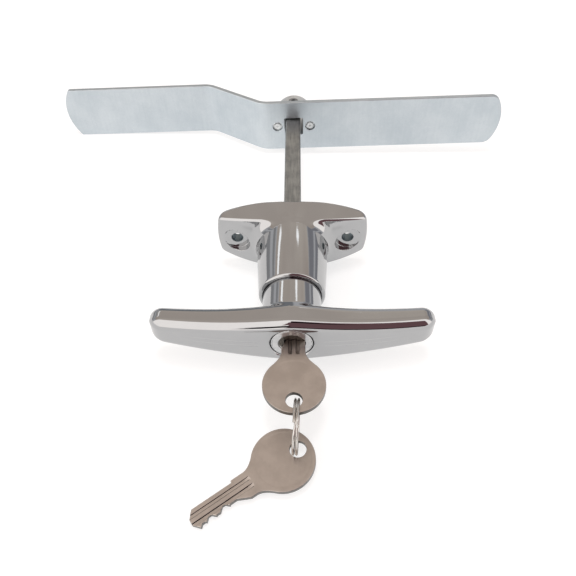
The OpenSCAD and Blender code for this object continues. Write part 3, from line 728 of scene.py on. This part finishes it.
def plug_form(x, y, z):
    """Head, body, tail and cam, with the dish, the keyway and the wafers' slots cut out."""
    r = np.hypot(x, z)
    head = rod(x, y, z, PLUG_HEAD_R, PLUG_Y, PLUG_Y + PLUG_HEAD_T)
    head = cut_round(head, PLUG_Y - y, 0.35)
    body = rod(x, y, z, PLUG_R, PLUG_Y, PLUG_END_Y)
    tail = rod(x, y, z, TAIL_R, PLUG_END_Y - 1, BOLT_Y - BOLT_ROOM)
    cam = np.maximum(cam_outline(x, z), abs(y - BOLT_Y + 0.6) - CAM_HALF_T)
    solid = np.minimum(np.minimum(head, body), np.minimum(tail, cam))
    sphere = np.hypot(r, y - PLUG_Y - DISH_SPHERE_Y) - DISH_SPHERE_R
    dish = cut_round(r - DISH_R, sphere, 0.4)
    solid = cut_round(solid, -dish, 0.25)
    solid = np.maximum(solid, -np.maximum(keyway(x, z, 0.1), y - SHOULDER_Y - KEYWAY_LEN))
    for slot_y in WAFER_YS:
        wafer_slot = box(x, y, z, (0, slot_y, -0.7), (15, SLOT_HALF, 3.35))
        spring_slot = box(x, y, z, (-8.65, slot_y, 2.1), (7.5, SLOT_HALF, 2.05))
        solid = np.maximum(solid, -np.minimum(wafer_slot, spring_slot))
    return np.maximum(solid, -box(x, y, z, (0, RETAINER_Y, 0), (15, SLOT_HALF, 2.6)))


# Shaft, locking bar and hub. The bar's form is made flat, then bent round its two bends
SHAFT_START = -13.4
SHAFT_END = 101.6
BAR_Y = 83.9
BAR_T = 2.5
BAR_W = 28.5
BAR_RIGHT = 112.1
BAR_LEFT = 131.9
BAR_OFFSET = 20.7
BAR_END_R = 25.0
BEND_R = 10.0
BEND_START = 17.2
BEND_END = 47.2
BEND_FALL = math.atan(BAR_OFFSET / (BEND_END - BEND_START))
BAR_LEAN = math.radians(1.7)
BAR_SHIFT = (0.45, 0.0, -0.3)
SQUARE_HOLE = 4.87
STUD_X = 8.9
STUD_R = 2.6
STUD_STEP_R = 1.9
HUB_R = 9.7
HUB_LEN = 13.8
FLANGE_R = 12.5
FLANGE_T = 3.0
SET_SCREW_R = 2.55
HUB_Y = BAR_Y + BAR_T
SET_SCREW_Y = HUB_Y + 8


def shaft_form(x, y, z):
    """A square bar with rounded edges and a cross hole for the pin."""
    sides = cut_round(abs(x) - SHAFT_SIDE / 2, abs(z) - SHAFT_SIDE / 2, 0.7)
    ends = np.maximum(SHAFT_START - y, y - SHAFT_END)
    return np.maximum(cut_round(sides, ends, 0.5), PIN_BORE_R - np.hypot(y - PIN_Y, z))


BEND_HALF = math.tan(BEND_FALL / 2)
FIRST_X = -BEND_START + BEND_HALF * (BEND_R + BAR_T)
FIRST_Y = BAR_Y + BAR_T + BEND_R
SECOND_X = -BEND_END - BEND_HALF * BEND_R
SECOND_Y = BAR_Y + BAR_OFFSET - BEND_R
MIDDLE_R = BEND_R + BAR_T / 2
BEND_LONG = BEND_FALL * MIDDLE_R
RAMP_LONG = math.hypot(
    FIRST_X - SECOND_X - 2 * MIDDLE_R * math.sin(BEND_FALL),
    SECOND_Y - FIRST_Y + 2 * MIDDLE_R * math.cos(BEND_FALL),
)
FLAT_LEFT = 2 * BEND_LONG + RAMP_LONG + BAR_LEFT + SECOND_X - FIRST_X


def flat_bar_form(x, y, z):
    """The bar before it is bent, y from 0 at its near face."""
    left = np.hypot(np.minimum(x + FLAT_LEFT - BAR_END_R, 0), z) - BAR_END_R
    right = np.hypot(np.maximum(x - BAR_RIGHT + BAR_END_R, 0), z) - BAR_END_R
    outline = cut_round(abs(z) - BAR_W / 2, left, 0.6)
    outline = cut_round(outline, right, 2.5)
    hole = np.maximum(abs(x), abs(z)) - SQUARE_HOLE
    studs = np.hypot(abs(x) - STUD_X, z) - STUD_R - PLAY
    outline = cut_round(outline, -np.minimum(hole, studs), 0.15)
    return cut_round(outline, abs(y - BAR_T / 2) - BAR_T / 2, 0.3)


def bent(p):
    """Places of the flat bar's points after bending, and how far each is turned."""
    run = FIRST_X - p[:, 0]
    t = p[:, 1]
    first = np.clip(run / MIDDLE_R, 0, BEND_FALL)
    second = np.clip((run - BEND_LONG - RAMP_LONG) / MIDDLE_R, 0, BEND_FALL)
    ramp = np.clip(run - BEND_LONG, 0, RAMP_LONG)
    far = np.maximum(run - 2 * BEND_LONG - RAMP_LONG, 0)
    turn = first - second
    inner = FIRST_Y - BAR_Y
    x = FIRST_X - np.minimum(run, 0) - (inner - t) * np.sin(first)
    y = FIRST_Y - (inner - t) * np.cos(first)
    x -= ramp * math.cos(BEND_FALL)
    y += ramp * math.sin(BEND_FALL)
    x -= (BEND_R + t) * (math.sin(BEND_FALL) - np.sin(BEND_FALL - second)) * (second > 0)
    y += (BEND_R + t) * (np.cos(BEND_FALL - second) - math.cos(BEND_FALL)) * (second > 0)
    x -= far
    return np.stack([x, y, p[:, 2]], 1), turn


def on_shaft(p, shift=BAR_SHIFT):
    """Turns and shifts the bar's points in the slack of its square hole."""
    c, s = math.cos(BAR_LEAN), math.sin(BAR_LEAN)
    x = p[:, 0] * c - p[:, 2] * s
    z = p[:, 0] * s + p[:, 2] * c
    return np.stack([x, p[:, 1], z], 1) + shift


def place_bar(points, normals):
    """The flat bar's points and normals, bent and set on the shaft."""
    points, turn = bent(points)
    c, s = np.cos(turn), np.sin(turn)
    turned = np.stack([
        normals[:, 0] * c + normals[:, 1] * s, normals[:, 1] * c - normals[:, 0] * s, normals[:, 2]
    ], 1)
    return on_shaft(points), on_shaft(turned, 0.0)


def place_on_shaft(points, normals):
    return on_shaft(points), on_shaft(normals, 0.0)


def hub_form(x, y, z):
    """Barrel and flange, two riveted studs with stepped ends, the square hole and a screw hole."""
    barrel = cut_round(rod(x, y, z, HUB_R, HUB_Y, FAR), y - HUB_Y - HUB_LEN, 0.8)
    flange = np.maximum(rod(x, y, z, FLANGE_R, HUB_Y, FAR), abs(z) - HUB_R)
    flange = cut_round(flange, y - HUB_Y - FLANGE_T, 0.6)
    solid = join_round(barrel, flange, 1.0)
    stud = rod(abs(x) - STUD_X, y, z, STUD_R, BAR_Y + 0.3, HUB_Y + 1)
    reach = np.hypot(abs(x) - STUD_X, z)
    step = np.maximum(np.maximum(reach - STUD_R - 0.1, STUD_STEP_R - reach), y - BAR_Y - 0.95)
    mark = np.maximum(reach - 0.45, y - BAR_Y - 0.6)
    stud = np.maximum(stud, -np.minimum(step, mark))
    solid = np.minimum(np.maximum(solid, HUB_Y - y), stud)
    solid = np.maximum(solid, SQUARE_HOLE - np.maximum(abs(x), abs(z)))
    screw = np.maximum(np.hypot(x, y - SET_SCREW_Y) - SET_SCREW_R, -z)
    return cut_round(solid, -screw, 0.3)


# Keys: the outline lies in x and y, the bow's middle at the origin and the blade along x
BOW_R = 11.4
NECK = 18.9
BLADE_LEN = 17.6
KEY_HOLE_X = -6.3
KEY_HOLE_R = 3.0
NECK_HALF = 4.5
NECK_MIDDLE = 0.3
NECK_FILLET = 3.2
CUT_DEPTHS = [1.21, 2.13, 0.71, 1.85, 0.99]
CUT_FLAT_HALF = 0.5
MILL_DEPTH = 0.45
COIN_R = 10.4
COIN_DEPTH = 0.06


def key_form(x, y, z):
    """Round bow, neck and cut blade, milled on one side, the bow's middle coined a little lower."""
    bow = np.hypot(x, y) - BOW_R
    neck = np.maximum(abs(y - NECK_MIDDLE) - NECK_HALF, np.maximum(-x, x - NECK))
    outline = join_round(bow, neck, NECK_FILLET)
    tip = NECK + BLADE_LEN
    blade = np.maximum(abs(y - BLADE_MIDDLE) - BLADE_HALF, np.maximum(NECK - 1 - x, x - tip))
    blade = np.maximum(blade, (x - tip + abs(y - 0.1) * 0.85 - 0.9) * 0.76)
    for n, depth in enumerate(CUT_DEPTHS):
        middle = NECK + FIRST_WAFER + WAFER_STEP * n
        slope = (abs(x - middle) - CUT_FLAT_HALF - depth - (y - BLADE_HIGH)) * 0.7071
        blade = np.maximum(blade, -np.maximum(slope, BLADE_HIGH - depth - y))
    outline = np.minimum(outline, blade)
    shoulder = 0.457 * (x - NECK + 3.2) + 0.889 * (y - NECK_MIDDLE - NECK_HALF)
    cut_away = np.maximum(-shoulder, np.maximum(BLADE_HIGH - CUT_DEPTHS[0] - y, x - NECK - 3))
    outline = np.maximum(outline, -cut_away)
    outline = np.maximum(outline, KEY_HOLE_R - np.hypot(x - KEY_HOLE_X, y))
    solid = cut_round(outline, abs(z) - KEY_T / 2, 0.16)
    run_out = np.maximum(NECK - 3.4 - x, 0) ** 2 / 16
    floor = KEY_T / 2 - MILL_DEPTH + run_out
    for mill in KEY_MILLS:
        solid = np.maximum(solid, -np.maximum(abs(y - mill) - MILL_R, floor - z))
    inside = np.clip((COIN_R - np.hypot(x, y)) / 0.9, 0, 1)
    coined = COIN_DEPTH * inside * inside * (3 - 2 * inside)
    return np.maximum(solid, z - KEY_T / 2 + coined)


# The scene's own pieces
def add_piece(name, mesh, node, body, slot):
    """Puts a mesh on its body in a finish, in place of a CAD node."""
    obj = bpy.data.objects.new(name, mesh)
    bpy.context.scene.collection.objects.link(obj)
    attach(obj, body)
    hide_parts(node)
    dress(obj, slot)
    return obj


def quad_mesh(name, points, normals, quads):
    mesh = bpy.data.meshes.new(name)
    mesh.from_pydata((points * MM).tolist(), [], quads.tolist())
    mesh.shade_smooth()
    mesh.normals_split_custom_set_from_vertices(normals.tolist())
    return mesh


def form_mesh(name, form, low, high, cell, place=None):
    """A form's surface as a mesh, bent or moved by place."""
    points, normals, quads = skin(form, low, high, cell)
    if place:
        points, normals = place(points, normals)
    return quad_mesh(name, points, normals, quads)


def placed_mesh(name, shape, matrix):
    """A flat shape at another place. Its edge attribute is 1 on the sides and 0 on the flats, and
    masks the keys' painted shade.
    """
    points, normals, quads = shape
    turn = np.array(matrix.to_3x3())
    points = points @ turn.T + np.array(matrix.translation)
    mesh = quad_mesh(name, points, normals @ turn.T, quads)
    edge = mesh.attributes.new("edge", "FLOAT", "POINT")
    edge.data.foreach_set("value", (1 - abs(normals[:, 2])).astype(np.float32))
    return mesh


def make_castings():
    rose = form_mesh("rose", rose_form, (-34.2, -41.5, -17), (34.2, 1, 17), 0.42)
    add_piece("chromed_rose", rose, "rose", "rose", "chrome")
    handle = form_mesh("handle", handle_form, (-56.5, -65, -13.8), (56.5, 0.6, 13.8), 0.42)
    add_piece("chromed_handle", handle, "handle", "handle", "chrome")
    plug = form_mesh("plug", plug_form, (-9, -64.6, -9), (9, -15.5, 9), 0.26)
    add_piece("dished_plug", plug, "plug", "plug", "nickel_plug")


def make_bar():
    shaft = form_mesh("shaft", shaft_form, (-5, -14.4, -5), (5, SHAFT_END + 1, 5), 0.32)
    add_piece("square_shaft", shaft, "shaft", "handle", "steel_shaft")
    low, high = (-FLAT_LEFT - 1, -0.8, -15.2), (BAR_RIGHT + 1, BAR_T + 0.8, 15.2)
    bar = form_mesh("bar", flat_bar_form, low, high, 0.42, place_bar)
    add_piece("cranked_bar", bar, "locking_bar", "handle", "zinc_bar")
    low, high = (-13.5, BAR_Y - 0.6, -11), (13.5, HUB_Y + HUB_LEN + 1, 11)
    hub = form_mesh("hub", hub_form, low, high, 0.28, place_on_shaft)
    add_piece("riveted_hub", hub, "bar_hub", "handle", "zinc_hub")


def placed(place, *turns):
    """A matrix that turns by so many degrees about each axis, the last first, then moves."""
    matrix = Matrix.Translation(place)
    for degrees, axis in turns:
        matrix = matrix @ Matrix.Rotation(math.radians(degrees), 4, axis)
    return matrix


KEY_PLACE = placed((KEY_X, -81.75, 0), (90, "Z"))
SPARE_PLACE = placed((-2.9, -103.45, -13.6), (214, "Z"), (5, "Y"))


def make_keys():
    shape = skin(key_form, (-12.4, -12.4, -1.6), (NECK + BLADE_LEN + 1, 12.4, 1.6), 0.21)
    add_piece("key_in_plug", placed_mesh("key", shape, KEY_PLACE), "key", "key", "key_nickel")
    spare = placed_mesh("spare_key", shape, SPARE_PLACE)
    add_piece("key_on_ring", spare, "spare_key", "spare_key", "key_nickel")


def make_wires():
    springs = spring_tree()
    matrix = placed(np.array([-4.95, WAFER_YS[0], 3.35]) * MM, (90, "Y"))
    values = {
        "Radius": 0.5 * MM, "Turns": 5.0, "Length": 3.45 * MM, "Wire": 0.3 * MM,
        "Copies": len(WAFER_YS), "Step": (0.0, WAFER_STEP * MM, 0.0),
        "Material": FINISHES["spring_steel"],
    }
    wafer_springs = grown("wafer_springs", springs, values, matrix)
    add_piece("wafer_coils", wafer_springs, "wafer_springs", "plug", "spring_steel")
    matrix = placed(np.array([0, BOLT_Y, -9.95]) * MM)
    values = {
        "Radius": 1.75 * MM, "Turns": 5.0, "Length": 5.1 * MM, "Wire": 0.5 * MM,
        "Copies": 1, "Step": (0.0, 0.0, 0.0), "Material": FINISHES["spring_steel"],
    }
    bolt_spring = grown("bolt_spring", springs, values, matrix)
    add_piece("bolt_coil", bolt_spring, "bolt_spring", "handle", "spring_steel")
    matrix = placed(np.array([1.6, -94.05, -6.8]) * MM, (-3, "Z"), (90, "Y"), (200, "Z"))
    values = {
        "Radius": 9.4 * MM, "Wire": 1.0 * MM, "Side": 1.2 * MM, "Crossing": 0.06,
        "Material": FINISHES["ring_steel"],
    }
    ring = grown("key_ring", split_ring_tree(), values, matrix)
    add_piece("split_ring", ring, "key_ring", "key_ring", "ring_steel")


make_castings()
make_bar()
make_keys()
make_wires()


# Floor, light and camera
FLOOR_Z = -18.2 * MM
FLOOR_HALF = 3.0


def background_rays(t):
    """1 where the camera, a mirror or a glass looks, 0 for the light that falls on things."""
    names = ("Is Camera Ray", "Is Glossy Ray", "Is Transmission Ray")
    camera, glossy, glass = t.outputs("ShaderNodeLightPath", names)
    return camera + glossy + glass


def make_floor():
    mesh = bpy.data.meshes.new("floor")
    signs = ((-1, -1), (1, -1), (1, 1), (-1, 1))
    corners = [(FLOOR_HALF * a, FLOOR_HALF * b, FLOOR_Z) for a, b in signs]
    mesh.from_pydata(corners, [], [(0, 1, 2, 3)])
    floor = bpy.data.objects.new("floor", mesh)
    bpy.context.scene.collection.objects.link(floor)
    f = Finish("pale_floor")
    shader = f.node(
        "ShaderNodeBsdfPrincipled",
        None,
        {
            "Base Color": rgb(0.4, 0.4, 0.4),
            "Roughness": 0.9,
            "Specular IOR Level": 0.0,
            "Emission Color": f.mix(background_rays(f), rgb(0, 0, 0), rgb(1.0, 1.0, 1.0)),
            "Emission Strength": 0.68,
        },
    )
    f.node("ShaderNodeOutputMaterial", None, {"Surface": shader})
    mesh.materials.append(f.material)


def make_world():
    """What the chrome mirrors: a brown ceiling with two bright streaks, a bright front with a
    maroon block and near-black bars on its right, and grey low down behind, darker in patches."""
    world = bpy.data.worlds.new("studio")
    bpy.context.scene.world = world
    world.use_nodes = True
    t = Tree(world.node_tree)
    direction = t.node("ShaderNodeTexCoord", out=0)
    x, y, z = t.xyz(direction)
    behind = t.node("ShaderNodeMath", {"operation": "ARCTAN2"}, {0: x, 1: y})
    before = t.node("ShaderNodeMath", {"operation": "ARCTAN2"}, {0: x, 1: y * -1.0})
    height = t.node("ShaderNodeMath", {"operation": "ARCSINE"}, {0: z})
    rise = t.node("ShaderNodeMath", {"operation": "ARCTAN2"}, {0: z, 1: y * -1.0})

    def between(value, low, high, soft):
        """1 between two angles in degrees, with soft borders."""
        low, high, soft = (math.radians(v) for v in (low, high, soft))
        return t.ramp(value, low - soft, low + soft) * (1 - t.ramp(value, high - soft, high + soft))

    colour = t.mix(t.ramp(z, 0.4, 1.0), rgb(0.595, 0.51, 0.455), rgb(0.69, 0.61, 0.55))
    patches = t.noise(direction, 1.6, 2.0, 0.5)
    colour = t.mix(t.ramp(patches, 0.35, 0.7), colour, rgb(0.80, 0.72, 0.64))
    low_back = between(height, -30, 28, 1.5)
    colour = t.mix(low_back, colour, rgb(0.68, 0.68, 0.70))
    colour = t.mix(low_back * between(behind, -28, 2, 2), colour, rgb(0.30, 0.31, 0.33))
    spot = between(height, 43.5, 47, 0.7) * between(behind, 14, 22, 1)
    colour = t.mix(spot, colour, rgb(1.9, 1.9, 1.9))
    streak = between(height, 33.5, 37.5, 0.7) * between(behind, -55, -31, 2)
    colour = t.mix(streak, colour, rgb(1.9, 1.9, 1.9))
    dark_left = between(height, -6, 11, 2) + between(height, 19, 25, 1)
    colour = t.mix(dark_left * between(behind, -80, -28, 3), colour, rgb(0.40, 0.40, 0.41))
    dark_right = between(height, -6, 8, 1.5) + between(height, 13, 27, 2)
    colour = t.mix(dark_right * between(behind, 28, 80, 3), colour, rgb(0.34, 0.34, 0.37))
    front = between(rise, -85, 86.5, 1)
    colour = t.mix(front, colour, rgb(1.75, 1.66, 1.6))
    maroon = between(before, -6, 60, 1.5) * between(rise, 3, 77, 2.5)
    maroon = t.node(
        "ShaderNodeMath",
        {"operation": "MAXIMUM"},
        {0: maroon, 1: between(before, -13, 0, 1.5) * between(rise, 36, 66, 2)},
    )
    colour = t.mix(maroon, colour, rgb(0.23, 0.125, 0.135))
    sill = between(before, -20, -3, 2) * between(rise, 12, 29, 2)
    sill = sill + between(before, -3, 40, 1) * (between(rise, 3, 12, 2) + between(rise, 60, 74, 2))
    colour = t.mix(sill, colour, rgb(0.012, 0.01, 0.012))
    camera_ray = t.node("ShaderNodeLightPath", out="Is Camera Ray")
    colour = t.mix(camera_ray, colour, rgb(1, 1, 1))
    background = t.node("ShaderNodeBackground", None, {"Color": colour, "Strength": 1.0})
    t.node("ShaderNodeOutputWorld", None, {"Surface": background})


def soft_box(name, place, target, size, watts):
    """An area lamp that mirrors don't show."""
    light = bpy.data.lights.new(name, "AREA")
    light.shape = "RECTANGLE"
    light.size, light.size_y = size
    light.energy = watts
    lamp = bpy.data.objects.new(name, light)
    lamp.location = place
    lamp.rotation_euler = (Vector(target) - Vector(place)).to_track_quat("-Z", "Y").to_euler()
    lamp.visible_glossy = False
    bpy.context.scene.collection.objects.link(lamp)


def make_camera():
    """The camera that took the photograph, as solved from its points."""
    yaw, pitch, roll = -0.0237, 0.8444, -0.0195
    place = (1.961 * MM, -188.945 * MM, 172.875 * MM)
    lens_pixels, photo_pixels = 564.15, 576.0
    forward = Vector((
        math.sin(yaw) * math.cos(pitch), math.cos(yaw) * math.cos(pitch), -math.sin(pitch)
    ))
    right = Vector((math.cos(yaw), -math.sin(yaw), 0.0))
    up = right.cross(forward)
    c, s = math.cos(roll), math.sin(roll)
    right, up = c * right + s * up, c * up - s * right
    data = bpy.data.cameras.new("camera")
    data.sensor_fit = "HORIZONTAL"
    data.sensor_width = 36.0
    data.lens = lens_pixels / photo_pixels * data.sensor_width
    data.clip_start = 0.005
    camera = bpy.data.objects.new("camera", data)
    camera.matrix_world = Matrix((
        (right.x, up.x, -forward.x, place[0]),
        (right.y, up.y, -forward.y, place[1]),
        (right.z, up.z, -forward.z, place[2]),
        (0.0, 0.0, 0.0, 1.0),
    ))
    bpy.context.scene.collection.objects.link(camera)
    bpy.context.scene.camera = camera


make_floor()
make_world()
soft_box("top_box", (0.0, 0.03, 0.95), (0.0, 0.0, 0.0), (0.2, 0.2), 2.3)
make_camera()
bpy.context.scene.view_settings.view_transform = "Standard"
